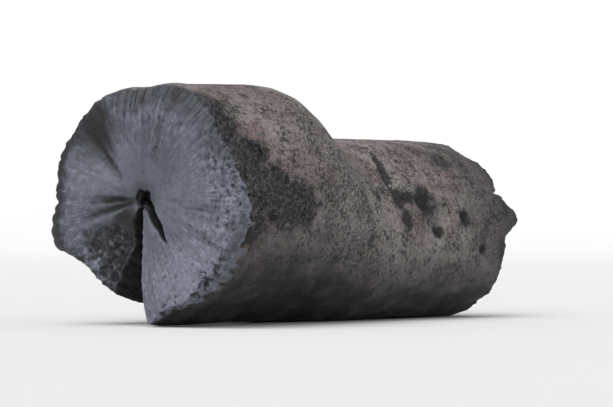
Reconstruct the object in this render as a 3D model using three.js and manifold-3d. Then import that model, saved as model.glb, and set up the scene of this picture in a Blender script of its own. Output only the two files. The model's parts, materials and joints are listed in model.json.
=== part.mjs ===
// A lump of hardwood charcoal: a short length of branch, charred whole and snapped off at both
// ends, lying on its side. The open end, at -X, shows the rays of the wood, the hollow pith and
// a wide split that runs in from the underside to the pith. The branch is swollen there, and
// narrows past a shoulder to an even barrel that ends, at +X, in a rough break.
//
// Millimetres, +Z up, X along the branch. The origin is at the middle of the lump's box, on the
// surface that it lies on.
//
// A place round the branch is an hour, as on a clock face seen from the open end: 12 is
// straight up and 3 points along -Y. A reach is a distance from the pith, and a share is a part
// of the way from the pith to the skin.

import * as THREE from "three";
import { ImprovedNoise } from "three/addons/math/ImprovedNoise.js";
import { mergeVertices } from "three/addons/utils/BufferGeometryUtils.js";
import Module from "manifold-3d";

// Overall size. The lists give the reach of the skin at 12, 1, 2 and so on up to 11 o'clock.
const LENGTH = 136;
const OPEN_PITH_HEIGHT = 34.8;
const FAR_PITH_HEIGHT = 26.4;
const OPEN_REACH = [29.8, 33.2, 34.6, 36.4, 34.6, 32.4, 34, 29.6, 30.6, 27.7, 29.8, 30.9];
const FAR_REACH = [25.8, 26.8, 26.6, 27, 28, 27.3, 26.6, 25.6, 25.4, 25.8, 26, 25.4];
const SHOULDER = { start: 40, end: 73 }; // the top keeps its height to start, and has dropped by end
const FLANK = { start: 10, end: 108 }; // the sides narrow more slowly
const FOOT_SLICE = 1.2; // taken off the underside, for the flat that the lump rests on
const WORN_EDGE = 0.7; // taken off the skin where it meets an end

// The wide split. Its right wall stays on one hour, and its left wall closes in along the branch.
const SPLIT = { rightHour: 5.8, leftHour: 7.15, length: 106, apexReach: 1.3, lastApexReach: 10, tear: 1.3 };
const PITH_HOLE = { radius: 1.6, depth: 34, ragged: 0.7 };

// Relief of the open end. A depth runs into the wood, and a negative one stands proud. Each
// feature is deepest at its hour and fades out a width of hours away.
const DISH_DEPTH = 3.6;
const RIM_ROLL_DEPTH = 0.9;
const RAY_DEPTH = 0.95;
const TOP_ROLL = { hour: 12.6, width: 2.3, depth: 2.4 };
const TOP_RIBS = { hour: 12.2, width: 2.2, depth: 1.6 };
const VALLEY = { hour: 10.5, width: 0.7, depth: 2.6 };
const LEFT_LOBE = { hour: 9, width: 1.5, depth: -2 };
const LEFT_BEVEL = { hour: 7, width: 1.2, depth: 7, tear: 2.6 };
const RIGHT_LOBE = { hour: 4.7, width: 1.7, depth: -1.6 };
const STREAKS = [
  { hour: 8.9, width: 0.24, depth: 1.8 },
  { hour: 8.45, width: 0.2, depth: 1.8 },
];

// Relief of the break at the far end.
const BREAK_SETBACK = 1.5;
const TERRACE_DEPTH = 1.4;
const FIBRE_DEPTH = 1.4;
const UPPER_RIM_DEPTH = 4.5;
const FAR_RIM_DEPTH = 0.3;
const SPLINTER = { hour: 2.75, width: 0.42, depth: -4.6 };
const SPLINTER_NOTCHES = [
  { hour: 2.2, width: 0.6, depth: 1.4 },
  { hour: 3.2, width: 0.3, depth: 1.6 },
];

// Relief of the bark skin.
const SWELL_HEIGHT = 0.9;
const RIB_HEIGHT = 0.45;
const CROWN = { x: 36, long: 26, hour: 0.3, width: 2, height: 0.4 };
const FLAKED_PATCH = { x: 8, long: 24, hour: 2.6, width: 1.5, depth: 0.7, pitting: 1.1 };

// Where the skin's edge at the open end is chipped away, or stands out, over a length of it.
const RIM_CHIPS = [
  { hour: 7.65, width: 0.5, reach: -2.4, long: 16 },
  { hour: 8.42, width: 0.55, reach: 2.2, long: 18 },
  { hour: 10.4, width: 0.5, reach: 0.7, long: 10 },
  { hour: 4.45, width: 0.4, reach: -1.4, long: 7 },
  { hour: 3.75, width: 0.35, reach: -1.2, long: 6 },
  { hour: 5.25, width: 0.35, reach: -1.3, long: 8 },
];

// Checks along the rays of the wood, between two shares. Each is widest at its outer end, or
// where widest says, as a share of its own length.
const OPEN_CRACKS = [
  { hour: 4.6, from: 0.05, to: 0.6, width: 2.5, depth: 15, widest: 0.3 },
  { hour: 10.5, from: 0.24, to: 0.52, width: 0.9, depth: 5, widest: 0.5 },
  { hour: 2.85, from: 0.68, to: 1.08, width: 1.1, depth: 8 },
  { hour: 3.2, from: 0.74, to: 1.08, width: 1, depth: 7 },
  { hour: 1.15, from: 0.6, to: 1.06, width: 1.1, depth: 7 },
  { hour: 2.05, from: 0.7, to: 1.06, width: 1.2, depth: 6 },
  { hour: 4.1, from: 0.75, to: 1.08, width: 1, depth: 6 },
  { hour: 11.55, from: 0.6, to: 1.06, width: 1.1, depth: 7 },
  { hour: 9.9, from: 0.74, to: 1.06, width: 0.9, depth: 5 },
];

const FAR_CRACKS = [
  { hour: 0.4, from: 0.12, to: 1.1, width: 1.7, depth: 13 },
  { hour: 2.2, from: 0.32, to: 1.1, width: 1.2, depth: 9 },
  { hour: 4.1, from: 0.08, to: 0.86, width: 1.9, depth: 14, widest: 0.6 },
  { hour: 5.5, from: 0.48, to: 1.1, width: 1.1, depth: 7 },
  { hour: 7.3, from: 0.16, to: 1.1, width: 1.6, depth: 12 },
  { hour: 9.1, from: 0.4, to: 1.1, width: 1.2, depth: 8 },
  { hour: 10.6, from: 0.2, to: 1.1, width: 1.4, depth: 10 },
];

// Gashes in the skin, each through a few places given by x and hour.
const SKIN_GASHES = [
  { places: [[81, 1.29], [80.2, 1.7], [80.2, 2.2], [82, 2.8]], width: 2.8, depth: 3.2 },
  { places: [[81, 2.3], [88, 2.42]], width: 2, depth: 2 },
  { places: [[95, 2.92], [101, 3.16]], width: 2, depth: 2.2 },
  { places: [[9, 2.05], [14, 2.5], [22, 2.75]], width: 2.4, depth: 2.2 },
  { places: [[40, 8.9], [42, 9.6], [41, 10.3]], width: 2, depth: 2.8 },
  { places: [[98, 10.2], [101, 9.5], [100, 8.7]], width: 2.2, depth: 3 },
  { places: [[60, 11.2], [72, 11.35]], width: 1.5, depth: 2.2 },
  { places: [[100, 9.12], [118, 9.02], [140, 9.1]], width: 1.5, depth: 5 },
  { places: [[108, 10.75], [124, 10.6], [140, 10.6]], width: 1.6, depth: 5 },
  { places: [[-3, 9.86], [10, 9.9], [30, 9.75]], width: 1.4, depth: 4 },
];

const SKIN_PITS = [
  { x: 94, hour: 2.43, long: 10, wide: 7.6, deep: 2 },
  { x: 112, hour: 2.75, long: 4.4, wide: 3.8, deep: 2 },
  { x: 121.5, hour: 3.4, long: 3.6, wide: 3, deep: 1.3 },
  { x: 113, hour: 1.48, long: 10, wide: 5, deep: 1 },
  { x: 10, hour: 2.23, long: 5, wide: 5, deep: 1.7 },
  { x: 19, hour: 2.71, long: 8, wide: 4, deep: 1.7 },
  { x: 14, hour: 3.25, long: 5, wide: 4.4, deep: 1.4 },
  { x: 26, hour: 9.5, long: 7, wide: 5, deep: 1.6 },
  { x: 84, hour: 9.4, long: 6, wide: 4.5, deep: 1.7 },
  { x: 66, hour: 10.4, long: 10, wide: 5.5, deep: 1.5 },
  { x: 118, hour: 8.4, long: 6, wide: 5, deep: 1.6 },
];

// How finely the surface is laid out.
const COLUMNS = 76;
const BARREL_ROWS = 27;
const OPEN_RINGS = [0.1, 0.23, 0.36, 0.49, 0.61, 0.72, 0.82, 0.91];
const FAR_RINGS = [0.92, 0.8, 0.66, 0.5, 0.28];
const SPLIT_STATIONS = 14;
const SPLIT_WALL_STEPS = 7;
const CRACK_STEPS = 6;
const GASH_STEPS = 3; // between two places
const PITH_CORNERS = 10;

const HOUR = Math.PI / 6;
const OUTSIDE = 60; // past the skin on every side
const noise = new ImprovedNoise();

const { lerp, smoothstep, clamp } = THREE.MathUtils;

// A bump of height 1 at the middle, down to 0 a width away.
function bump(value, middle, width) {
  const t = clamp(Math.abs(value - middle) / width, 0, 1);
  return (1 - t * t) ** 2;
}

// The way round the clock from one hour to another, from -6 to 6.
function hoursFrom(hour, other) {
  return ((((hour - other + 6) % 12) + 12) % 12) - 6;
}

function hourBump(hour, middle, width) {
  return bump(hoursFrom(hour, middle), 0, width);
}

function reliefAt(hour, feature) {
  return feature.depth * hourBump(hour, feature.hour, feature.width);
}

function sumOver(list, value) {
  return list.reduce((total, item) => total + value(item), 0);
}

// A smooth closed curve through twelve reaches.
function reachAt(reaches, hour) {
  const whole = Math.floor(hour);
  const t = hour - whole;
  const [a, b, c, d] = [-1, 0, 1, 2].map((step) => reaches[(whole + step + 24) % 12]);
  return b + 0.5 * t * (c - a + t * (2 * a - 5 * b + 4 * c - d + t * (3 * (b - c) + d - a)));
}

function shoulderAt(x) {
  return 1 - smoothstep(x, SHOULDER.start, SHOULDER.end);
}

function pithHeight(x) {
  return lerp(FAR_PITH_HEIGHT, OPEN_PITH_HEIGHT, shoulderAt(x));
}

function place(x, hour, reach) {
  const angle = hour * HOUR;
  return new THREE.Vector3(x, -reach * Math.sin(angle), pithHeight(x) + reach * Math.cos(angle));
}

// Noise that is the same all the way round the clock, with its own scale along the branch.
function roundNoise(x, hour, alongScale, roundScale, seed) {
  const angle = hour * HOUR;
  return noise.noise(x / alongScale + seed, Math.cos(angle) * roundScale, Math.sin(angle) * roundScale);
}

// The reach of the bark skin, with its long swells, its faint ribs, the chips in its rim and the
// patch by the open end where it has flaked off.
function skinReach(x, hour) {
  const upright = Math.abs(Math.cos((hour - 0.7) * HOUR));
  const flank = 1 - smoothstep(x, FLANK.start, FLANK.end);
  const swollen = lerp(flank, shoulderAt(x), upright);
  const even = lerp(reachAt(FAR_REACH, hour), reachAt(OPEN_REACH, hour), swollen);
  const under = hourBump(hour, 6, 1.6);
  const swells = SWELL_HEIGHT * roundNoise(x, hour, 34, 1.7, 3.1) * (1 - under);
  const ribs = RIB_HEIGHT * roundNoise(x, hour, 26, 7, 8.4);
  const crown = CROWN.height * bump(x, CROWN.x, CROWN.long) * hourBump(hour, CROWN.hour, CROWN.width);
  const patch = FLAKED_PATCH;
  const flaked = bump(x, patch.x, patch.long) * hourBump(hour, patch.hour, patch.width);
  const pitting = flaked * (patch.pitting * roundNoise(x, hour, 4.2, 9, 5.7) - patch.depth);
  const chips = sumOver(
    RIM_CHIPS,
    (chip) => chip.reach * hourBump(hour, chip.hour, chip.width) * bump(x, 0, chip.long),
  );
  return even + swells + ribs + crown + pitting + chips;
}

// How far the open end's surface lies from x = 0: dished, rolled back along the top, with a
// valley at half past ten, a proud left lobe, and a torn bevel where that lobe meets the split.
function openFaceDepth(hour, share) {
  const dish = DISH_DEPTH * (1 - share) ** 2;
  const rimRoll = RIM_ROLL_DEPTH * smoothstep(share, 0.88, 1);
  const topRoll = reliefAt(hour, TOP_ROLL) * smoothstep(share, 0.7, 1.04);
  const topRibs = reliefAt(hour, TOP_RIBS) * roundNoise(share * 2, hour, 9, 19, 6.2) * share ** 2;
  const valley = reliefAt(hour, VALLEY) * bump(share, 0.72, 0.46);
  const leftLobe = reliefAt(hour, LEFT_LOBE) * smoothstep(share, 0.15, 0.6);
  const rightLobe = reliefAt(hour, RIGHT_LOBE) * smoothstep(share, 0.2, 0.8);
  const tear = LEFT_BEVEL.tear * noise.noise(share * 7, hour * 2.6, 5.2);
  const bevel = reliefAt(hour, LEFT_BEVEL) * (1 + tear / LEFT_BEVEL.depth) * smoothstep(share, 0.15, 0.55);
  const streaks = sumOver(STREAKS, (streak) => reliefAt(hour, streak)) * bump(share, 0.3, 0.42);
  const rays = RAY_DEPTH * roundNoise(share * 9, hour, 9, 11, 1.3) * share;
  return dish + rimRoll + topRoll + topRibs + valley + leftLobe + rightLobe + bevel + streaks + rays;
}

// The same for the break at the far end, set back from x = LENGTH: low terraces, an upper rim
// that has broken away and a splinter left standing at about three o'clock.
function farBreakDepth(hour, share) {
  const [across, up] = [share * Math.sin(hour * HOUR), share * Math.cos(hour * HOUR)];
  const slope = noise.noise(across * 1.5 + 4.4, up * 1.5 + 2.1, 0.7);
  const terrace = BREAK_SETBACK + TERRACE_DEPTH * Math.tanh(5 * slope);
  const fibres = FIBRE_DEPTH * noise.noise(across * 6 + 1.2, up * 6 + 7.7, 3.3);
  const upperRim = UPPER_RIM_DEPTH * smoothstep(up, 0.45, 1.05);
  const rim = FAR_RIM_DEPTH + sumOver([SPLINTER, ...SPLINTER_NOTCHES], (feature) => reliefAt(hour, feature));
  return terrace + fibres + upperRim + rim * smoothstep(share, 0.7, 0.98);
}

// One closed surface from a list of rings with the same number of points, closed at each end
// by a fan round a middle point.
function surfaceThrough(rings, firstMiddle, lastMiddle) {
  const count = rings[0].length;
  const points = rings.flat();
  const first = points.push(firstMiddle) - 1;
  const last = points.push(lastMiddle) - 1;
  const lastRow = (rings.length - 1) * count;
  const faces = [];
  for (let column = 0; column < count; column += 1) {
    const next = (column + 1) % count;
    faces.push(first, next, column, last, lastRow + column, lastRow + next);
    for (let row = 0; row < rings.length - 1; row += 1) {
      const [here, after] = [row * count, (row + 1) * count];
      faces.push(here + column, here + next, after + next);
      faces.push(here + column, after + next, after + column);
    }
  }
  const geometry = new THREE.BufferGeometry().setFromPoints(points);
  return geometry.setIndex(faces);
}

function middleOf(ring) {
  const sum = ring.reduce((total, point) => total.add(point), new THREE.Vector3());
  return sum.divideScalar(ring.length);
}

function surfaceBetween(rings) {
  return surfaceThrough(rings, middleOf(rings[0]), middleOf(rings.at(-1)));
}

function branchGeometry() {
  const hours = Array.from({ length: COLUMNS }, (_, column) => (column * 12) / COLUMNS);
  const openRing = (share) =>
    hours.map((hour) => place(openFaceDepth(hour, share), hour, share * skinReach(0, hour)));
  const barrelRing = (t) =>
    hours.map((hour) => {
      const x = lerp(openFaceDepth(hour, 1), LENGTH - farBreakDepth(hour, 1), t);
      const worn = WORN_EDGE * (bump(t, 0, 0.03) + bump(t, 1, 0.05));
      return place(x, hour, skinReach(x, hour) - worn);
    });
  const farRing = (share) =>
    hours.map((hour) => {
      const x = LENGTH - farBreakDepth(hour, share);
      return place(x, hour, share * (skinReach(x, hour) - 2 * WORN_EDGE));
    });
  const rings = [
    ...OPEN_RINGS.map(openRing),
    ...Array.from({ length: BARREL_ROWS }, (_, row) => barrelRing(row / (BARREL_ROWS - 1))),
    ...FAR_RINGS.map(farRing),
  ];
  const openMiddle = place(openFaceDepth(0, 0), 0, 0);
  const farMiddle = place(LENGTH - farBreakDepth(0, 0), 0, 0);
  return surfaceThrough(rings, openMiddle, farMiddle);
}

// The air in the split: a wedge from just under the pith out past the skin, with torn walls.
function splitGeometry() {
  const section = (x) => {
    const along = clamp(x / SPLIT.length, 0, 1);
    const leftHour = lerp(SPLIT.leftHour, SPLIT.rightHour + 0.03, along ** 0.7);
    const apexReach = lerp(SPLIT.apexReach, SPLIT.lastApexReach, along ** 1.6);
    const wall = (hour, seed) =>
      Array.from({ length: SPLIT_WALL_STEPS }, (_, step) => {
        const share = step / (SPLIT_WALL_STEPS - 1);
        const reach = lerp(apexReach, OUTSIDE, share ** 1.5);
        const tear = SPLIT.tear * (1 - 0.7 * along) * noise.noise(x / 11 + seed * 5.3, reach / 5, seed * 2.9);
        return place(x, hour + tear / (HOUR * Math.max(reach, 8)), reach);
      });
    const apex = place(x, SPLIT.rightHour + 0.2, apexReach);
    const right = wall(SPLIT.rightHour, 0.5).slice(1);
    const left = wall(leftHour, -0.5).slice(1);
    return [...right.reverse(), apex, ...left];
  };
  const rings = Array.from({ length: SPLIT_STATIONS }, (_, station) =>
    section((station * SPLIT.length) / (SPLIT_STATIONS - 1)),
  );
  const before = rings[0].map((point) => point.clone().setX(-OUTSIDE / 6));
  return surfaceBetween([before, ...rings]);
}

// The air in the hollow pith, a ragged hole that narrows inwards.
function pithHoleGeometry() {
  const ring = (x, radius) =>
    Array.from({ length: PITH_CORNERS }, (_, corner) => {
      const ragged = 1 + PITH_HOLE.ragged * noise.noise(x / 6 + 2.2, corner * 1.9, 0.4);
      return place(x, (corner * 12) / PITH_CORNERS, radius * ragged);
    });
  const taper = [
    { x: -8, share: 1.5 },
    { x: 3, share: 1.25 },
    { x: 10, share: 0.9 },
    { x: 20, share: 0.65 },
    { x: PITH_HOLE.depth, share: 0.25 },
  ];
  return surfaceBetween(taper.map(({ x, share }) => ring(x, share * PITH_HOLE.radius)));
}

// The air in a crack that follows a line of points on the surface. Each point carries the way
// out of the surface there and its share of the crack's full width and depth.
function crackGeometry(line, width, depth) {
  const lift = 4; // how far the air stands out of the surface
  const rings = line.map(({ point, out, share }, index) => {
    const before = line[Math.max(index - 1, 0)].point;
    const after = line[Math.min(index + 1, line.length - 1)].point;
    const side = new THREE.Vector3().subVectors(after, before).cross(out).normalize();
    const half = Math.max(0.5 * width * share, 0.04);
    const halfAtTop = half * (1 + lift / Math.max(depth * share, 1));
    const tip = point.clone().addScaledVector(out, -Math.max(depth * share, 0.1));
    const top = point.clone().addScaledVector(out, lift);
    return [top.clone().addScaledVector(side, halfAtTop), top.addScaledVector(side, -halfAtTop), tip];
  });
  return surfaceBetween(rings);
}

// A check across one of the ends, which wanders a little off its hour.
function rayCrack(end, { hour, from, to, width, depth, widest = 1 }) {
  const isOpenEnd = end === "open";
  const out = new THREE.Vector3(isOpenEnd ? -1 : 1, 0, 0);
  const line = Array.from({ length: CRACK_STEPS + 1 }, (_, step) => {
    const t = step / CRACK_STEPS;
    const across = lerp(from, to, t);
    const reach = across * skinReach(isOpenEnd ? 0 : LENGTH, hour);
    const wander = (0.5 * noise.noise(reach / 3, hour * 3.7, 1.9)) / (HOUR * Math.max(reach, 6));
    const atHour = hour + wander;
    const x = isOpenEnd ? openFaceDepth(atHour, across) : LENGTH - farBreakDepth(atHour, across);
    const share = widest === 1 ? t : 1 - smoothstep(Math.abs(t - widest), 0, 1 - 0.4 * widest);
    return { point: place(x, atHour, reach), out, share };
  });
  return crackGeometry(line, width, depth);
}

function skinGash({ places, width, depth }) {
  const steps = GASH_STEPS * (places.length - 1);
  const line = Array.from({ length: steps + 1 }, (_, step) => {
    const at = Math.min(Math.floor(step / GASH_STEPS), places.length - 2);
    const t = step / GASH_STEPS - at;
    const x = lerp(places[at][0], places[at + 1][0], t) + 0.8 * noise.noise(step * 1.7, width, 4.1);
    const hour = lerp(places[at][1], places[at + 1][1], t);
    const out = new THREE.Vector3(0, -Math.sin(hour * HOUR), Math.cos(hour * HOUR));
    const share = Math.sin((Math.PI * (step + 0.25)) / (steps + 0.5)) ** 0.6;
    return { point: place(x, hour, skinReach(x, hour)), out, share };
  });
  return crackGeometry(line, width, depth);
}

// A ragged pit in the skin, long along x and wide round the branch.
function skinPit({ x, hour, long, wide, deep }) {
  const geometry = new THREE.IcosahedronGeometry(1, 1);
  const position = geometry.getAttribute("position");
  const point = new THREE.Vector3();
  for (let index = 0; index < position.count; index += 1) {
    point.fromBufferAttribute(position, index);
    point.multiplyScalar(1 + 0.45 * noise.noise(point.x * 1.8 + x, point.y * 1.8, point.z * 1.8));
    position.setXYZ(index, point.x, point.y, point.z);
  }
  geometry.scale(long / 2, wide / 2, deep);
  geometry.rotateX(hour * HOUR);
  const centre = place(x, hour, skinReach(x, hour));
  return geometry.translate(centre.x, centre.y, centre.z);
}

const wasm = await Module();
wasm.setup();

// A closed geometry as a solid, turned outwards if its rings ran the other way.
function solidOf(geometry) {
  for (const attribute of ["normal", "uv"]) geometry.deleteAttribute(attribute);
  const merged = mergeVertices(geometry, 1e-4);
  const vertProperties = merged.getAttribute("position").array;
  const triVerts = new Uint32Array(merged.getIndex().array);
  const solid = new wasm.Manifold(new wasm.Mesh({ numProp: 3, vertProperties, triVerts }));
  if (solid.volume() > 0) return solid;
  return new wasm.Manifold(new wasm.Mesh({ numProp: 3, vertProperties, triVerts: triVerts.reverse() }));
}

function geometryOf(solid) {
  const { vertProperties, triVerts } = solid.getMesh();
  const geometry = new THREE.BufferGeometry();
  geometry.setAttribute("position", new THREE.BufferAttribute(vertProperties, 3));
  return geometry.setIndex(new THREE.BufferAttribute(triVerts, 1));
}

function lumpGeometry() {
  const underside = new THREE.BoxGeometry(4 * LENGTH, 4 * OUTSIDE, OUTSIDE);
  underside.translate(0, 0, FOOT_SLICE - OUTSIDE / 2);
  const cuts = [
    splitGeometry(),
    pithHoleGeometry(),
    ...OPEN_CRACKS.map((crack) => rayCrack("open", crack)),
    ...FAR_CRACKS.map((crack) => rayCrack("far", crack)),
    ...SKIN_GASHES.map(skinGash),
    ...SKIN_PITS.map(skinPit),
    underside,
  ];
  const carved = cuts.reduce((body, cut) => body.subtract(solidOf(cut)), solidOf(branchGeometry()));
  const [largest] = carved.decompose().sort((one, other) => other.volume() - one.volume());
  const geometry = geometryOf(largest);
  geometry.computeBoundingBox();
  const middle = geometry.boundingBox.getCenter(new THREE.Vector3());
  return geometry.translate(-middle.x, -middle.y, -geometry.boundingBox.min.z);
}

const charcoal = new THREE.MeshStandardMaterial({
  color: 0x3d3d43,
  roughness: 0.7,
  metalness: 0.1,
  flatShading: true,
});

const lump = new THREE.Mesh(lumpGeometry(), charcoal);
lump.name = "charcoal_lump";

const part = new THREE.Group();
part.add(lump);

export default part;
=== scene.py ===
# Lump of hardwood charcoal on a pale floor. Blender 4.5, metres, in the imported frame.
import bpy
import json
import math
from functools import partial
from types import SimpleNamespace
import numpy as np
from mathutils.kdtree import KDTree
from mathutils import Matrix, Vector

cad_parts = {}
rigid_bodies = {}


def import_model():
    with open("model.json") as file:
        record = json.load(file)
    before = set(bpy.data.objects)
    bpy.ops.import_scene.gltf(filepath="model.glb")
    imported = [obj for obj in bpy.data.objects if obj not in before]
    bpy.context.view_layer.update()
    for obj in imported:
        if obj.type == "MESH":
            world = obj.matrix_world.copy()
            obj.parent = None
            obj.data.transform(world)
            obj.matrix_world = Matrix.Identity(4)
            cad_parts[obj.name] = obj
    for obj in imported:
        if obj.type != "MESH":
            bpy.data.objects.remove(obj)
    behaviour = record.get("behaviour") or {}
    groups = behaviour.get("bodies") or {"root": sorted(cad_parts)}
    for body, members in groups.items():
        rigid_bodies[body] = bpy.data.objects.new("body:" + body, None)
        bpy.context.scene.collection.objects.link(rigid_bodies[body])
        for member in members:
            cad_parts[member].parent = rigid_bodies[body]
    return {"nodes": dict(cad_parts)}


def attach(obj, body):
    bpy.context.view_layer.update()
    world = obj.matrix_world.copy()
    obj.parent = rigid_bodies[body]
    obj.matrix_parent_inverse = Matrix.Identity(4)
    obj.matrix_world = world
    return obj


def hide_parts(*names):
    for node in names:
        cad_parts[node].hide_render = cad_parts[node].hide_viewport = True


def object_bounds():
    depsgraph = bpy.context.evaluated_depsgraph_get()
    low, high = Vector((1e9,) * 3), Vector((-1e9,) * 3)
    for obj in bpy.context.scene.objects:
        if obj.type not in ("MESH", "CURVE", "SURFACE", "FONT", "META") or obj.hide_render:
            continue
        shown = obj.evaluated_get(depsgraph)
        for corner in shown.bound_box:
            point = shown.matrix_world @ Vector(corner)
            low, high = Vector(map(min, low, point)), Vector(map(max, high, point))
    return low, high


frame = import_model()
cadLow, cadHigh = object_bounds()
mm = 0.001
print("frame loaded:", ", ".join(frame["nodes"]))

# The branch's own line, in millimetres. Places on it are given by how far they lie from the open
# end, by the hour on a clock face seen from that end, and by their reach from the pith.
branch = {
    "openX": -68.88,
    "pithY": 3.29,
    "openPithZ": 33.6,
    "farPithZ": 25.2,
    "shoulderStart": 40,
    "shoulderEnd": 73,
    "length": 136,
}

# The relief that is added to the solid, in millimetres.
lump = {
    "voxel": 0.42,
    "sharpEdge": 27,  # degrees, edges above this stay crisp when the flats are smoothed away
    "keepNearSharp": 1.3,
    "softenSpots": 0.5,
    "smoothing": 90,
    "triangles": 192000,
    "waveDepth": 0.3,
    "fluteDepth": 0.8,
    "stubDepth": 0.3,
    "rayDepth": 0.13,
    "grainDepth": 0.16,
    "crumblyRim": 0.55,
    "bevelDepth": 0.7,
    "rimNibble": 0.8,
    "lowChips": 2.6,  # how much deeper the chips at the lower right are than the nibbles
    "pithNibble": 1.1,
    "wrinkleDepth": 0.1,
    "swellDepth": 0.3,
    "poreDepth": 0.22,
    "crumbDepth": 0.6,
    "fibreDepth": 0.5,
    "breakDepth": 0.8,
    "dustDepth": 0.03,
}

# Places on the skin: how far from the open end, hour, length along the branch and width round it.
charredPatch = [
    (2, 1.7, 9, 15), (3, 2.6, 10, 16), (8, 2.35, 12, 9), (11, 2.9, 16, 13), (20, 3.05, 18, 12),
    (28, 3.1, 9, 9), (6, 3.45, 10, 8), (4, 8.6, 8, 14), (14, 9.5, 12, 8),
]
sootSpots = [
    (3, 1.6, 5, 10), (4, 2.1, 7, 8), (10, 2.4, 9, 6), (16, 2.68, 9, 5), (23, 2.88, 8, 4),
    (12, 3.2, 4, 3), (80.8, 1.5, 3.4, 6), (80.4, 1.9, 4.2, 8), (81, 2.35, 4.6, 8),
    (82.6, 2.8, 4.4, 6), (86, 2.36, 7, 3.6), (94, 2.43, 9, 7.5), (98.5, 3.05, 6, 3),
    (112, 2.75, 4.6, 4.2), (121.5, 3.4, 3.6, 3), (41, 9.6, 5, 14), (100, 9.4, 5, 12),
    (26, 9.5, 8, 7), (66, 10.4, 11, 8), (50, 8.3, 12, 8),
]
# smudges, of which the two low on the flank near the open end are painted shade
smudgesAndShade = [
    (112, 1.45, 17, 8), (104, 1.15, 12, 6), (133, 1.2, 12, 12), (14, 3.75, 26, 13),
    (38, 3.6, 20, 10), (121, 2.5, 9, 12), (94, 2.6, 15, 12), (60, 10.8, 30, 12),
    (30, 9.2, 30, 16), (110, 9, 20, 14),
]

# Bands of the open end: hour in the middle, hours to each side, and the shares of the way from the
# pith to the rim between which the band comes in. It goes on to the rim.
bands = {
    "flutes": (12.25, 2.2, 0.74, 0.9),
    "granularRight": (2.7, 1.7, 0.62, 0.95),
    "granularBelow": (4.7, 1.6, 0.3, 0.7),
    "bevel": (7.35, 0.95, 0.2, 0.4),
    "crumbsAtTip": (7.65, 0.6, 0.6, 0.85),
    "crumbsOnBevel": (7.5, 0.9, 0.25, 0.5),
    # painted highlight at the lower right of the open end
    "highlightBelow": (4.7, 1.5, 0.35, 0.8),
    # painted shade along the top rim and the right rim
    "darkTop": (12.6, 2.7, 0.68, 0.93),
    "darkRight": (1.7, 1.4, 0.82, 0.97),
}
# Spots of the open end: hour in the middle, hours to each side, share of the way to the rim in the
# middle, and shares to each side.
spots = {
    "stubs": (12.1, 2.6, 0.74, 0.14),
    # the valley, the two streaks and the spot beside the pith are painted shade
    "valley": (10.7, 1.15, 0.86, 0.46),
    "upperStreak": (8.95, 0.5, 0.25, 0.38),
    "lowerStreak": (8.42, 0.42, 0.25, 0.38),
    "besidePith": (8.5, 1.5, 0.08, 0.26),
    "paleLobe": (9.2, 1.0, 0.62, 0.35),
}


def deselectAll():
    if bpy.context.object and bpy.context.object.mode != "OBJECT":
        bpy.ops.object.mode_set(mode="OBJECT")
    bpy.ops.object.select_all(action="DESELECT")


def pick(piece):
    deselectAll()
    piece.select_set(True)
    bpy.context.view_layer.objects.active = piece


def useModifier(piece, kind, **settings):
    # adds a modifier, sets it and applies it
    pick(piece)
    bpy.ops.object.modifier_add(type=kind)
    modifier = piece.modifiers[-1]
    for name, value in settings.items():
        setattr(modifier, name, value)
    bpy.ops.object.modifier_apply(modifier=modifier.name)


def smoothStep(value, low, high):
    t = np.clip((value - low) / (high - low), 0, 1)
    return t * t * (3 - 2 * t)


def bump(value, middle, width):
    # 1 at the middle, down to 0 a width away
    t = np.clip(np.abs(value - middle) / width, 0, 1)
    return (1 - t * t) ** 2


def hoursFrom(hour, other):
    return (hour - other + 6) % 12 - 6


def hourBump(hour, middle, width):
    return bump(hoursFrom(hour, middle), 0, width)


def inBand(name, at):
    middle, hours, low, high = bands[name]
    return hourBump(at.hour, middle, hours) * smoothStep(at.share, low, high)


def inSpot(name, at):
    middle, hours, share, shares = spots[name]
    return hourBump(at.hour, middle, hours) * bump(at.share, share, shares)


def drawAt(shuffle, cell):
    # one of 256 draws for each whole cell of a grid
    x, y, z = cell.T & 255
    return shuffle[(shuffle[(shuffle[x] + y) & 255] + z) & 255]


def softNoise(points, seed):
    # smooth noise of about -1 to 1, one swell to each unit
    rng = np.random.default_rng(seed)
    slopes = rng.normal(size=(256, 3))
    slopes /= np.linalg.norm(slopes, axis=1)[:, None]
    shuffle = rng.permutation(256)
    cell = np.floor(points).astype(int)
    within = points - cell
    ease = within ** 3 * (within * (within * 6 - 15) + 10)
    total = np.zeros(len(points))
    for corner in np.ndindex(2, 2, 2):
        slope = slopes[drawAt(shuffle, cell + corner)]
        share = np.where(corner, ease, 1 - ease).prod(axis=1)
        total += share * (slope * (within - corner)).sum(axis=1)
    return 1.7 * total


def roughNoise(points, seed):
    # the same with two finer layers on it
    finer = softNoise(points * 2.03, seed + 1)
    finest = softNoise(points * 4.1, seed + 2)
    return softNoise(points, seed) + 0.5 * finer + 0.25 * finest


def cellNoise(points, seed):
    # how far each point is from the nearest and the next of the dots scattered one to a unit
    rng = np.random.default_rng(seed)
    dots = rng.random((256, 3))
    shuffle = rng.permutation(256)
    cell = np.floor(points).astype(int)
    nearest = np.full(len(points), 9.0)
    second = nearest.copy()
    for step in np.ndindex(3, 3, 3):
        home = cell + step - 1
        gap = np.linalg.norm(home + dots[drawAt(shuffle, home)] - points, axis=1)
        second = np.minimum(second, np.maximum(nearest, gap))
        nearest = np.minimum(nearest, gap)
    return nearest, second


def rayNoise(at, count, length, seed):
    # noise in rays about the pith, a count of swells to each radian
    return softNoise(np.column_stack([at.outward * count, at.reach / length]), seed)


def lengthNoise(at, count, length, seed):
    # noise in lines that run along the branch
    return softNoise(np.column_stack([at.outward * count, at.along / length]), seed)


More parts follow.
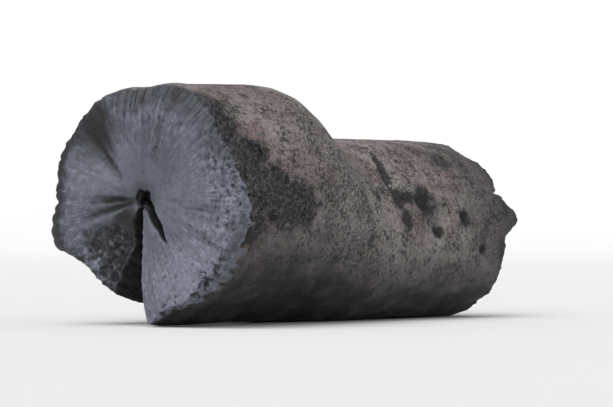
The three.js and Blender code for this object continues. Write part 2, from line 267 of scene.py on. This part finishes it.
def blur(mesh, values, rounds):
    # evens a value out over the mesh, each point towards its neighbours' mean
    ends = np.empty(len(mesh.edges) * 2, int)
    mesh.edges.foreach_get("vertices", ends)
    a, b = ends.reshape(-1, 2).T
    count = len(mesh.vertices)
    neighbours = np.bincount(a, minlength=count) + np.bincount(b, minlength=count)
    for _ in range(rounds):
        total = np.bincount(a, values[b], count) + np.bincount(b, values[a], count)
        values = 0.5 * values + 0.5 * total / neighbours
    return values


def pointsOf(mesh):
    places = np.empty(len(mesh.vertices) * 3)
    mesh.vertices.foreach_get("co", places)
    return places.reshape(-1, 3) / mm


def normalsOf(mesh):
    normals = np.empty(len(mesh.vertices) * 3)
    mesh.vertices.foreach_get("normal", normals)
    return normals.reshape(-1, 3)


def saveMask(mesh, name, values):
    attribute = mesh.attributes.get(name) or mesh.attributes.new(name, "FLOAT", "POINT")
    attribute.data.foreach_set("value", values.astype(np.float32))


def readMask(mesh, name):
    values = np.empty(len(mesh.vertices), np.float32)
    mesh.attributes[name].data.foreach_get("value", values)
    return values.astype(float)


def aroundBranch(points):
    # where points lie: along the branch from the open end, hour, reach from the pith, way outward
    along = points[:, 0] - branch["openX"]
    drop = smoothStep(along, branch["shoulderStart"], branch["shoulderEnd"])
    pithZ = branch["openPithZ"] + (branch["farPithZ"] - branch["openPithZ"]) * drop
    across, up = branch["pithY"] - points[:, 1], points[:, 2] - pithZ
    reach = np.hypot(across, up)
    hour = np.degrees(np.arctan2(across, up)) / 30 % 12
    outward = np.column_stack([across, up]) / np.maximum(reach, 1e-6)[:, None]
    return SimpleNamespace(points=points, along=along, hour=hour, reach=reach, outward=outward)


def copyOfSolid():
    # the solid of the frame, with its loose triangles merged, as a piece of its own
    node = frame["nodes"]["charcoal_lump"]
    pick(node)
    bpy.ops.object.duplicate()
    piece = bpy.context.object
    bpy.ops.object.parent_clear(type="CLEAR_KEEP_TRANSFORM")
    for key in list(piece.keys()):
        del piece[key]
    piece.name = piece.data.name = "charcoalLump"
    bpy.ops.object.mode_set(mode="EDIT")
    bpy.ops.mesh.select_all(action="SELECT")
    bpy.ops.mesh.remove_doubles(threshold=0.002 * mm)
    bpy.ops.object.mode_set(mode="OBJECT")
    return piece


def sharpPlaces(mesh):
    # points along the edges that are to stay crisp
    bpy.ops.object.mode_set(mode="EDIT")
    bpy.ops.mesh.select_mode(type="EDGE")
    bpy.ops.mesh.select_all(action="DESELECT")
    bpy.ops.mesh.edges_select_sharp(sharpness=math.radians(lump["sharpEdge"]))
    bpy.ops.object.mode_set(mode="OBJECT")
    points = pointsOf(mesh)
    ends = np.array([edge.vertices for edge in mesh.edges if edge.select])
    starts, stops = points[ends[:, 0]], points[ends[:, 1]]
    shares = np.linspace(0, 1, 9)[:, None, None]
    return (starts + (stops - starts) * shares).reshape(-1, 3)


def nearPlaces(places, at):
    # above 0.5 inside the places, falling off raggedly to 0 and below outside them
    nearness = np.full(len(at.points), -9.0)
    for x, hour, long, wide in places:
        sideways = hoursFrom(at.hour, hour) * math.radians(30) * at.reach
        gap = np.hypot((at.along - x) / (long / 2), sideways / (wide / 2))
        nearness = np.maximum(nearness, 1.5 - gap)
    return nearness + 0.33 * roughNoise(at.points / 2.7, 11)


def smoothFlats(piece, crisp):
    # evens out the flats of the solid, and leaves the edges of its cuts and rims
    tree = KDTree(len(crisp))
    for index, point in enumerate(crisp):
        tree.insert(point, index)
    tree.balance()
    at = aroundBranch(pointsOf(piece.data))
    gaps = np.array([tree.find(point)[2] for point in at.points])
    calm = smoothStep(gaps, 0.35 * lump["keepNearSharp"], lump["keepNearSharp"])
    # the soot spots are soft hollows, so their edges go too
    softened = smoothStep(nearPlaces(sootSpots, at), 0, 0.5)
    calm = np.maximum(calm, lump["softenSpots"] * softened)
    group = piece.vertex_groups.new(name="calm")
    for level in range(1, 11):
        inLevel = np.flatnonzero(np.round(calm * 10) == level)
        group.add(inLevel.tolist(), level / 10, "REPLACE")
    useModifier(piece, "SMOOTH", factor=0.5, iterations=lump["smoothing"], vertex_group="calm")
    useModifier(piece, "SMOOTH", factor=0.5, iterations=3)


def rimShare(face, at):
    # a reach as a share of the open end's rim at that hour
    near = face > 0.4
    rim = np.full(180, 25.0)
    np.maximum.at(rim, (at.hour[near] * 15).astype(int), at.reach[near])
    rim = np.convolve(np.concatenate([rim[-3:], rim, rim[:3]]), np.ones(7) / 7, "valid")
    return at.reach / np.interp(at.hour * 15, np.arange(181), np.append(rim, rim[0]))


def faceShadeAndStain(at, slow, leftHalf):
    # how dark the open end is: painted shade along the top rim, in the valley and the streaks, on the
    # bevel, at the left rim and round the pith, and darker along the crumbly right rim, the darkest
    # where these overlap
    ragged = at.share + 0.05 * roughNoise(at.points / 1.8, 17)
    bevelEdge = 8.3 - 0.5 * at.share + 0.3 * roughNoise(at.points / 4.5, 15)
    onBevel = smoothStep(bevelEdge - at.hour, -0.15, 0.25) * (at.hour > 6)
    return np.maximum.reduce([
        0.8 * inBand("darkTop", at),
        0.75 * inBand("darkRight", at),
        1.15 * inSpot("valley", at),
        smoothStep(ragged, 0.81, 0.92) * leftHalf,
        onBevel * smoothStep(at.share, 0.06, 0.25),
        inSpot("upperStreak", at),
        inSpot("lowerStreak", at),
        inSpot("besidePith", at),
        # painted shade in the mouth of the pith
        bump(at.share + 0.03 * slow, 0, 0.2),  # round the pith
    ])


def skinShadeAndStain(at, leftHalf):
    # how dark the bark is: painted shade below and at the left edge of the open end, where the skin
    # turns away, and darker at the right edge of the open end, in smudges, at the far end and on top
    under = smoothStep(-np.abs(hoursFrom(at.hour, 6)), -3.2, -1.5)
    smudgedAndShaded = smoothStep(nearPlaces(smudgesAndShade, at), -0.2, 1.3)
    return np.maximum.reduce([
        # painted shade on the underside
        0.95 * under,
        0.7 * bump(at.along, 0, 9) * hourBump(at.hour, 1.5, 1.7),
        0.95 * bump(at.along, 0, 6) * leftHalf,
        0.66 * smudgedAndShaded,
        0.6 * smoothStep(at.along, 104, 122) + 0.3 * smoothStep(at.along, 126, 133),
        0.15 * hourBump(at.hour, 12.3, 2.2) * bump(at.along, 38, 34),
    ])


def markZones(mesh):
    # which part of the surface each point belongs to, as masks from 0 to 1
    at, normals = aroundBranch(pointsOf(mesh)), normalsOf(mesh)
    facing = -normals[:, 1] * at.outward[:, 0] + normals[:, 2] * at.outward[:, 1]
    faceLimit = 6 + 8 * hourBump(at.hour, 7.2, 1.4)  # the bevel lies further in
    face = smoothStep(-normals[:, 0], 0.25, 0.6) * (at.along < faceLimit)
    far = smoothStep(normals[:, 0], 0.25, 0.6) * (at.along > branch["length"] - 14)
    bark = smoothStep(facing, 0.2, 0.55) * (1 - face) * (1 - far)
    face, far, bark = (blur(mesh, values, 4) for values in (face, far, bark))
    torn = np.clip(1 - face - far - bark, 0, 1)
    at.share = rimShare(face, at)

    # the grey of the open end spills raggedly over its rim on the right
    teeth = lengthNoise(at, 13, 9, 14)
    spill = (0.8 + 6 * hourBump(at.hour, 4.0, 1.8)) * (1 + 0.6 * teeth)
    grey = np.maximum(face, (1 - smoothStep(at.along, spill - 0.5, spill + 0.5)) * (facing > 0))
    spilled = grey * (1 - face)

    # the charred patch bites a little into the rim of the open end
    biting = smoothStep(at.share + 0.03 * roughNoise(at.points / 2, 19), 0.93, 1.0)
    bitten = biting * hourBump(at.hour, 1.7, 1.9)
    charred = smoothStep(nearPlaces(charredPatch, at), -0.3, 0.9)
    charred = charred * (1 - far) * (1 - face * (1 - 0.9 * bitten)) * (1 - 0.85 * spilled)
    sootAndShade = smoothStep(nearPlaces(sootSpots, at), 0.1, 0.8) * (1 - face)

    # painted shade and painted highlight, with some stains and pale crumbs, darker and paler round a
    # middle of 0.5
    slow = 0.5 + 0.5 * roughNoise(at.points / 6, 13)
    leftHalf = smoothStep(-hoursFrom(at.hour, 10.8), 0, 0.5) * smoothStep(at.hour, 6.3, 7.2)
    lightCrumbs = smoothStep(roughNoise(at.points / 1.3, 18), 0, 0.5)
    cleanCrumbs = smoothStep(roughNoise(at.points / 2.2, 16), -0.1, 0.5)
    crumbled = face * np.maximum(inBand("crumbsAtTip", at), 0.45 * inBand("crumbsOnBevel", at))
    pale = face * (0.6 * inBand("highlightBelow", at) + 0.1 * inSpot("paleLobe", at))
    pale = pale + 0.9 * crumbled * lightCrumbs
    onSkin = (1 - face) * (1 - far) * (1 - 0.75 * spilled)
    dark = face * faceShadeAndStain(at, slow, leftHalf) + onSkin * skinShadeAndStain(at, leftHalf) + 0.15 * far
    dark = dark * (1 - crumbled * np.maximum(lightCrumbs, cleanCrumbs))
    stainAndPaintedLight = np.clip(0.5 + 0.5 * pale - 0.5 * dark * (0.8 + 0.4 * slow), 0, 1)

    # where the skin is pored like leather
    leather = bump(at.along, 52, 34) * hourBump(at.hour, 2.6, 2.2)
    leather = leather + bump(at.along, 70, 30) * hourBump(at.hour, 9.6, 2.2)
    leather = bark * np.clip(leather * (0.6 + 0.9 * slow), 0, 1)
    masks = {
        "face": face, "far": far, "bark": bark, "torn": torn, "charred": charred, "sootAndShade": sootAndShade,
        "grey": grey, "share": np.clip(at.share, 0, 1), "stainAndPaintedLight": stainAndPaintedLight, "leather": leather,
    }
    for name, values in masks.items():
        saveMask(mesh, name, values)


def faceRelief(at, grain, crumbs):
    # open end: slow swells, rays, deep flutes in the rim along the top, and grains on the right
    right = inBand("granularRight", at)
    granular = np.clip(0.25 + right + inBand("granularBelow", at), 0, 1.2)
    flutes = 2.2 * np.abs(rayNoise(at, 15.5, 16, 21)) - 0.85
    stubs = 2 * np.minimum(rayNoise(at, 15, 3.5, 29), 0)
    rays = rayNoise(at, 30, 9, 22) + 0.6 * rayNoise(at, 17, 14, 23)
    height = lump["waveDepth"] * rayNoise(at, 4, 12, 20) * smoothStep(at.share, 0.1, 0.4)
    height += lump["fluteDepth"] * flutes * inBand("flutes", at)
    height += lump["stubDepth"] * stubs * inSpot("stubs", at)
    height += lump["rayDepth"] * rays * smoothStep(at.share, 0.25, 0.6)
    height += lump["grainDepth"] * grain * granular * smoothStep(at.share, 0.1, 0.5)
    height += lump["crumblyRim"] * (crumbs - 0.3) * right
    height += lump["bevelDepth"] * inBand("bevel", at) * roughNoise(at.points / [3, 2.2, 2.2], 26)
    return height


def rimRelief(at):
    # the rim is nibbled away in small chips, least along the top, and most at the lower right
    nibble = np.clip(lengthNoise(at, 14, 4, 28) + 0.15, 0, 1)
    chips = np.clip(roughNoise(at.points / 2.6, 53) + 0.1, 0, 1) * hourBump(at.hour, 4.7, 1.3)
    rim = bump(at.share, 1.0, 0.11) * bump(at.along, 0, 6) * (1 - 0.7 * hourBump(at.hour, 12.2, 2))
    # the mouth of the pith is no drilled hole
    pithRim = bump(at.reach, 1.4, 1.8) * (at.along < 15)
    pithChips = np.clip(softNoise(at.points / 1.7, 52) + 0.3, 0, 1)
    nibbled = lump["rimNibble"] * (nibble + lump["lowChips"] * chips) * rim
    return -nibbled - lump["pithNibble"] * pithChips * pithRim


def barkRelief(at, grain, leather, charred):
    # bark skin: slow swells, faint wrinkles along it, and pores
    wrinkles, fineLines = lengthNoise(at, 14, 22, 31), lengthNoise(at, 27, 13, 32)
    lowDown = hourBump(at.hour, 4.6, 1.8) + hourBump(at.hour, 8, 1.8)
    nearest, _ = cellNoise(at.points / [1.5, 1.3, 1.3] + 0.3 * grain[:, None], 34)
    pores = (1 - smoothStep(nearest, 0.1, 0.4)) * (0.25 + leather) * (1 - charred)
    height = lump["wrinkleDepth"] * (wrinkles + fineLines * (0.15 + 0.8 * lowDown))
    height += lump["swellDepth"] * softNoise(at.points / [11, 6, 6], 33)
    return height - lump["poreDepth"] * pores


def burntRelief(at, grain, crumbs):
    # charred crumbs with deep gaps between them
    nearCrumb, nextCrumb = cellNoise(at.points / 1.25 + 0.35 * grain[:, None], 51)
    gaps = 1 - smoothStep(nextCrumb - nearCrumb, 0, 0.35)
    return lump["crumbDepth"] * (0.9 * np.minimum(crumbs, 0.2) - 0.8 * gaps - 0.2)


def tornRelief(at):
    # torn walls of the split: fibres that run along the branch, and smoother ones in the checks
    fibres = roughNoise(at.points / [16, 1.7, 1.7], 41) + softNoise(at.points / [18, 3.4, 3.4], 42)
    inSplit = smoothStep(np.abs(hoursFrom(at.hour, 6.5)), 1.1, 0.8) * (at.along < 100)
    return lump["fibreDepth"] * fibres * (0.15 + 0.85 * inSplit)


def farRelief(at):
    # the break at the far end: plates that snapped at different depths, rays and ends of fibres
    plates = np.tanh(4 * softNoise(at.points / [60, 5.5, 5.5], 46))
    ends = roughNoise(at.points / [30, 1.6, 1.6], 43)
    return lump["breakDepth"] * (0.55 * plates + 0.5 * rayNoise(at, 14, 12, 47) + 0.45 * ends)


def addRelief(mesh):
    at, normals = aroundBranch(pointsOf(mesh)), normalsOf(mesh)
    face, far, bark, torn = (readMask(mesh, name) for name in ("face", "far", "bark", "torn"))
    charred, sootAndShade, leather = (readMask(mesh, name) for name in ("charred", "sootAndShade", "leather"))
    at.share = rimShare(face, at)
    grain = roughNoise(at.points / [1.6, 1.15, 1.15], 24)
    crumbs = roughNoise(at.points / 1.6, 50)
    burnt = np.maximum(smoothStep(charred, 0.2, 0.8), sootAndShade * 0.4) * (1 - torn)
    height = face * faceRelief(at, grain, crumbs)
    height += rimRelief(at)
    height += bark * barkRelief(at, grain, leather, charred)
    height += burnt * burntRelief(at, grain, crumbs)
    height += torn * tornRelief(at)
    height += far * farRelief(at)
    height += lump["dustDepth"] * softNoise(at.points / 0.7, 45)
    height *= smoothStep(at.points[:, 2], 0.1, 1.2)  # the foot stays flat
    moved = (at.points + normals * height[:, None]) * mm
    mesh.vertices.foreach_set("co", np.clip(moved, cadLow, cadHigh).ravel())
    mesh.update()


def markHollows(mesh):
    # how deep each point lies below the surface round it, at two scales, round a middle of 0.5, for
    # painted shade in grooves and hollows and painted highlight on ridges
    mesh.vertices.foreach_set("co", np.clip(pointsOf(mesh) * mm, cadLow, cadHigh).ravel())
    points, normals = pointsOf(mesh), normalsOf(mesh)
    for name, rounds, depth in (("groove", 5, 0.2), ("hollow", 60, 0.9)):
        even = np.column_stack([blur(mesh, points[:, axis], rounds) for axis in range(3)])
        below = ((even - points) * normals).sum(axis=1)
        saveMask(mesh, name, np.clip(0.5 + 0.5 * below / depth, 0, 1))


def makeLump():
    piece = copyOfSolid()
    crisp = sharpPlaces(piece.data)
    useModifier(piece, "REMESH", mode="VOXEL", voxel_size=lump["voxel"] * mm, adaptivity=0)
    print("remeshed:", len(piece.data.vertices), "points")
    smoothFlats(piece, crisp)
    print("flats smoothed")
    markZones(piece.data)
    addRelief(piece.data)
    print("relief added")
    useModifier(piece, "TRIANGULATE")
    ratio = lump["triangles"] / len(piece.data.polygons)
    useModifier(piece, "DECIMATE", ratio=min(ratio, 1))
    print("thinned to", len(piece.data.polygons), "triangles")
    markHollows(piece.data)
    pick(piece)
    bpy.ops.object.shade_smooth()
    piece.vertex_groups.clear()
    return piece


def linear(hexColour):
    # an sRGB hex colour as linear light
    values = [int(hexColour[at:at + 2], 16) / 255 for at in (1, 3, 5)]
    return [v / 12.92 if v <= 0.04045 else ((v + 0.055) / 1.055) ** 2.4 for v in values] + [1]


def startMaterial(name):
    material = bpy.data.materials.new(name)
    material.use_nodes = True
    material.node_tree.nodes.clear()
    return material


def addNode(material, kind, inputs=None, output=0, **settings):
    # adds a node with its settings, its values and the sockets that feed it, and gives its output
    tree = material.node_tree
    node = tree.nodes.new("ShaderNode" + kind)
    for name, value in settings.items():
        setattr(node, name, value)
    for name, value in (inputs or {}).items():
        if isinstance(value, bpy.types.NodeSocket):
            tree.links.new(value, node.inputs[name])
        else:
            node.inputs[name].default_value = value
    return node.outputs[output] if node.outputs else None


def strength(add, most, *ramps):
    # how strongly something shows: each ramp takes a pattern from 0 to 1 between two of its
    # values, and the ramps are multiplied
    amount = most
    for pattern, low, high in ramps:
        ramp = add("MapRange", {"Value": pattern, "From Min": low, "From Max": high})
        amount = add("Math", {0: ramp, 1: amount}, operation="MULTIPLY")
    return amount


def layered(add, colour, *layers):
    # colours laid one over another, each with its most and its ramps. A Mix node takes its colours
    # at sockets 6 and 7, and gives one at socket 2.
    for above, most, *ramps in layers:
        amount = strength(add, most, *ramps)
        colour = add("Mix", {0: amount, 6: colour, 7: above}, output=2, data_type="RGBA")
    return colour


paints = {
    "faceDark": "#3c3d46",
    "faceGrey": "#5b5e6b",
    "faceSilver": "#9095a6",
    "barkDark": "#383230",
    "barkBrown": "#706766",
    "barkDust": "#9a9190",
    "barkPale": "#b8afac",
    "barkRed": "#72504b",
    "sootAndShade": "#151517",
    "ash": "#5b5d66",
    "tornBlack": "#111112",
    "tornFibre": "#1f1e20",
}

charcoal = {
    "raySpacing": 1 / 46,  # radians between the finest rays that show
    "rayLength": 6,
    "lineStretch": 0.08,
    "leatherCell": 1.25,  # millimetres, drawn about twice as coarse as the real pores
    "leatherBend": 1.6,
    "bendSize": 2,
    "bump": 0.22,
}

# Noises: millimetres from swell to swell, finer layers and how rough they are. The grains are about
# twice as coarse as real ones, so that they show.
noises = {
    "lines": (1.0, 3, 0.55),
    "grains": (0.55, 3, 0.65),
    "specks": (0.88, 2, 0.6),
    "coarse": (1.65, 3, 0.6),
    "blotches": (5, 4, 0.65),
    "broad": (16, 3, 0.55),
}


def charredWood():
    # Charred hardwood, burnt with little air. The rays of the open end are silver grey where they
    # were snapped, with painted glints, the bark skin is dull and brownish with dark pores, and the
    # breaks are dark, near black in the split and checks as painted shade.
    material = startMaterial("charred_hardwood")
    add = partial(addNode, material)
    show, layer = partial(strength, add), partial(layered, add)
    paint = {name: linear(code) for name, code in paints.items()}
    place = add("TexCoord", output="Object")

    # rays about the pith: the way out from it, and how far out
    pith = (0, -branch["pithY"] * mm, -branch["openPithZ"] * mm)
    centred = add("Mapping", {"Vector": place, "Location": pith, "Scale": (0, 1, 1)})
    wayOut = add("VectorMath", {0: centred}, operation="NORMALIZE")
    reach = add("VectorMath", {0: centred}, output="Value", operation="LENGTH")
    farOut = add("Math", {0: reach, 1: charcoal["rayLength"] * mm}, operation="DIVIDE")
    fineOut = add("VectorMath", {0: wayOut, "Scale": 1 / charcoal["raySpacing"]}, operation="SCALE")
    rayPlace = add("VectorMath", {0: fineOut, 1: add("CombineXYZ", {"X": farOut})}, operation="ADD")
    rays = add("TexNoise", {"Vector": rayPlace, "Scale": 1, "Detail": 3, "Roughness": 0.55})

    # noises, of which the lines are stretched along the branch
    stretched = add("Mapping", {"Vector": place, "Scale": (charcoal["lineStretch"], 1, 1)})
    spread = {}
    for name, (size, detail, rough) in noises.items():
        vector = stretched if name == "lines" else place
        values = {"Vector": vector, "Scale": 1 / (size * mm), "Detail": detail, "Roughness": rough}
        spread[name] = add("TexNoise", values)
    lines, grains, specks, coarse, blotches, broad = spread.values()

    # the leathery net of pores, bent a little out of true
    bendScale = 1 / (charcoal["bendSize"] * mm)
    bend = add("TexNoise", {"Vector": place, "Scale": bendScale, "Detail": 2}, output="Color")
    bent = add("VectorMath", {0: bend, "Scale": charcoal["leatherBend"] * mm}, operation="SCALE")
    netPlace = add("VectorMath", {0: place, 1: bent}, operation="ADD")
    netScale = 1 / (charcoal["leatherCell"] * mm)
    net = add("TexVoronoi", {"Vector": netPlace, "Scale": netScale}, feature="DISTANCE_TO_EDGE")
    netLines = show(1, (net, 0.2, 0.04), (coarse, 0.36, 0.52))

    # the masks of the mesh
    masks = ("grey", "bark", "far", "charred", "sootAndShade", "leather", "share", "stainAndPaintedLight", "groove", "hollow")
    grey, bark, far, charred, sootAndShade, leather, share, stainAndPaintedLight, groove, hollow = (
        add("Attribute", output="Fac", attribute_name=name) for name in masks
    )

    # open end: soft near the pith, and rayed in places further out
    rayed = show(1, (share, 0.25, 0.65), (blotches, 0.36, 0.58))
    rayTone = add("Mix", {0: rayed, 2: 0.6, 3: show(1, (rays, 0.32, 0.68))})
    faceColour = layer(
        paint["faceDark"],
        (paint["faceGrey"], 1, (rayTone, 0, 1)),
        (paint["faceSilver"], 0.25, (broad, 0.4, 0.7)),
        # painted glints along the rays
        (paint["faceSilver"], 0.7, (rays, 0.5, 0.66), (coarse, 0.45, 0.6), (rayed, 0, 1)),
        # painted glints in the grains towards the rim
        (paint["faceSilver"], 0.4, (share, 0.3, 0.9), (coarse, 0.5, 0.66)),
        (paint["faceDark"], 0.45, (coarse, 0.44, 0.32)),
        # painted highlight on the ridges
        (paint["faceSilver"], 0.3, (groove, 0.42, 0.15)),
    )

    # bark, with dark specks that are thicker in some places than in others
    blotched = add("Math", {0: blotches, 1: 0.75, 2: specks}, operation="MULTIPLY_ADD")
    specked = add("Math", {0: leather, 1: -0.02, 2: blotched}, operation="MULTIPLY_ADD")
    barkColour = layer(
        paint["barkDark"],
        (paint["barkBrown"], 1, (blotches, 0.3, 0.55)),
        (paint["barkDust"], 0.6, (broad, 0.42, 0.62)),
        (paint["barkDust"], 0.55, (coarse, 0.46, 0.66)),
        (paint["barkRed"], 0.34, (broad, 0.54, 0.4), (lines, 0.42, 0.6)),
        (paint["sootAndShade"], 0.8, (netLines, 0, 1), (leather, 0, 1)),
        (paint["barkDark"], 0.5, (coarse, 0.46, 0.34)),
        (paint["barkDark"], 0.45, (lines, 0.45, 0.32)),
        (paint["barkPale"], 0.22, (specks, 0.54, 0.68)),
        (paint["sootAndShade"], 0.88, (specked, 0.83, 0.73)),
    )

    # breaks, near black in the split and checks as painted shade, and burnt patches that end in specks
    tornColour = layer(paint["tornBlack"], (paint["tornFibre"], 1, (lines, 0.45, 0.7)))
    farColour = layer(paint["tornFibre"], (paint["faceGrey"], 1, (grains, 0.35, 0.65)))
    ashes = (paint["ash"], 0.68, (specks, 0.5, 0.64), (charred, 0.1, 0.6))
    burntColour = layer(paint["sootAndShade"], ashes)
    patches = add("Math", {0: charred, 1: sootAndShade}, operation="MAXIMUM")
    speckled = add("Math", {0: coarse, 1: 3.2, 2: patches}, operation="MULTIPLY_ADD")
    speckled = add("Math", {0: specks, 1: 2.6, 2: speckled}, operation="MULTIPLY_ADD")

    colour = layer(
        tornColour,
        (barkColour, 1, (bark, 0, 1)),
        (faceColour, 1, (grey, 0, 1)),
        (farColour, 1, (far, 0, 1)),
        (burntColour, 0.93, (speckled, 3.2, 3.6), (patches, 0, 0.15)),
        # painted highlight and painted shade from the stain mask, then painted shade in the grooves and
        # the hollows
        (paint["faceSilver"], 0.7, (stainAndPaintedLight, 0.5, 1)),
        (paint["sootAndShade"], 0.97, (stainAndPaintedLight, 0.5, 0)),
        (paint["sootAndShade"], 0.85, (groove, 0.56, 0.9)),
        (paint["sootAndShade"], 0.93, (hollow, 0.58, 0.85)),
    )

    # a little smoother where the rays were snapped
    rough = add("MapRange", {"Value": grains, "To Min": 0.5, "To Max": 0.9})
    snapped = add("Math", {0: rough, 1: 0.85}, operation="MULTIPLY")
    roughness = add("Mix", {0: grey, 2: rough, 3: snapped})

    # fine relief: what it follows, where it shows and how high it is
    greyRays = add("Math", {0: grey, 1: rayed}, operation="MULTIPLY")
    height = 0
    for pattern, where, high in (
        (rays, greyRays, 1.3),
        (grains, 1, 0.6),
        (coarse, 1, 1.2),
        (lines, bark, 0.5),
        (netLines, leather, -1),
    ):
        part = add("Math", {0: pattern, 1: where}, operation="MULTIPLY")
        height = add("Math", {0: part, 1: high, 2: height}, operation="MULTIPLY_ADD")
    bumps = {"Strength": 0.7, "Distance": charcoal["bump"] * mm, "Height": height}
    normal = add("Bump", bumps, output="Normal")
    surface = {"Base Color": colour, "Roughness": roughness, "Normal": normal, "Specular IOR Level": 0.5}
    add("OutputMaterial", {"Surface": add("BsdfPrincipled", surface)})
    return material


def floorPaper():
    # matt white paper, which gives the plain pale ground
    material = startMaterial("matt_paper")
    paper = addNode(material, "BsdfPrincipled", {"Base Color": linear("#e8e8e8"), "Roughness": 0.9})
    addNode(material, "OutputMaterial", {"Surface": paper})
    return material


stage = {"radius": 1.8, "sweep": 0.9, "steps": 10, "drop": 0.1}


def makeFloor():
    # a wide disc whose rim sweeps up all round, so that no edge shows behind the lump
    deselectAll()
    bpy.ops.mesh.primitive_circle_add(
        vertices=96, radius=stage["radius"], fill_type="NGON", location=(0, 0, -stage["drop"] * mm)
    )
    floor = bpy.context.object
    floor.name = "paperFloor"
    bpy.ops.object.mode_set(mode="EDIT")
    bpy.ops.mesh.select_all(action="SELECT")
    bpy.ops.mesh.inset(thickness=0.001)
    bpy.ops.mesh.select_all(action="DESELECT")
    bpy.ops.object.mode_set(mode="OBJECT")
    for edge in floor.data.edges:
        a, b = (floor.data.vertices[index].co for index in edge.vertices)
        edge.select = min(a.xy.length, b.xy.length) > stage["radius"] - 0.0005
    bpy.ops.object.mode_set(mode="EDIT")
    bpy.ops.mesh.select_mode(type="EDGE")
    for step in range(1, stage["steps"] + 1):
        was, now = ((at / stage["steps"]) * math.pi / 2 for at in (step - 1, step))
        outTo, outFrom = (stage["radius"] + stage["sweep"] * math.sin(angle) for angle in (now, was))
        lift = stage["sweep"] * (math.cos(was) - math.cos(now))
        bpy.ops.mesh.extrude_edges_move(TRANSFORM_OT_translate={"value": (0, 0, lift)})
        grow = outTo / outFrom
        bpy.ops.transform.resize(value=(grow, grow, 1), center_override=(0, 0, 0))
    bpy.ops.mesh.select_all(action="SELECT")
    bpy.ops.mesh.normals_make_consistent(inside=False)
    bpy.ops.object.mode_set(mode="OBJECT")
    bpy.ops.object.transform_apply(location=True, rotation=True, scale=True)
    bpy.ops.object.shade_smooth()
    floor.data.materials.append(floorPaper())


lights = {
    # where it comes from, how wide it is in degrees, and its strength
    "topLight": ((-0.35, 0.05, 0.9), 50, 1.7),
    "sideLight": ((-0.8, -0.35, 0.5), 40, 0.9),
    "world": 0.42,
}


def makeLights():
    for name in ("topLight", "sideLight"):
        towards, width, power = lights[name]
        bpy.ops.object.light_add(type="SUN", location=towards)
        light = bpy.context.object
        light.name = name
        light.data.angle = math.radians(width)
        light.data.energy = power
        light.rotation_euler = light.location.to_track_quat("Z", "Y").to_euler()
    world = bpy.data.worlds.new("paleStudio")
    bpy.context.scene.world = world
    world.use_nodes = True
    background = world.node_tree.nodes["Background"]
    background.inputs["Color"].default_value = linear("#ffffff")
    background.inputs["Strength"].default_value = lights["world"]


view = {"azimuth": -52, "elevation": -0.3, "distance": 0.9, "aimHeight": 0.0325, "lens": 190}


def makeCamera():
    a, e = math.radians(view["azimuth"]), math.radians(view["elevation"])
    back = np.array([math.sin(a) * math.cos(e), -math.cos(a) * math.cos(e), math.sin(e)])
    at = back * view["distance"] + [0, 0, view["aimHeight"]]
    bpy.ops.object.camera_add(location=at.tolist())
    camera = bpy.context.object
    camera.name = "mainCamera"
    camera.data.lens = view["lens"]
    camera.data.sensor_width = 36
    camera.rotation_euler = (math.radians(90 - view["elevation"]), 0, a)
    camera.data.clip_start = 0.01
    bpy.context.scene.camera = camera


makeCamera()
print("camera placed")
charcoalLump = makeLump()
charcoalLump.data.materials.clear()
charcoalLump.data.materials.append(charredWood())
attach(charcoalLump, "root")
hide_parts("charcoal_lump")
print("material made")
makeFloor()
makeLights()
bpy.context.scene.view_settings.view_transform = "Standard"
print("stage and lights made")

deselectAll()
bpy.context.view_layer.update()
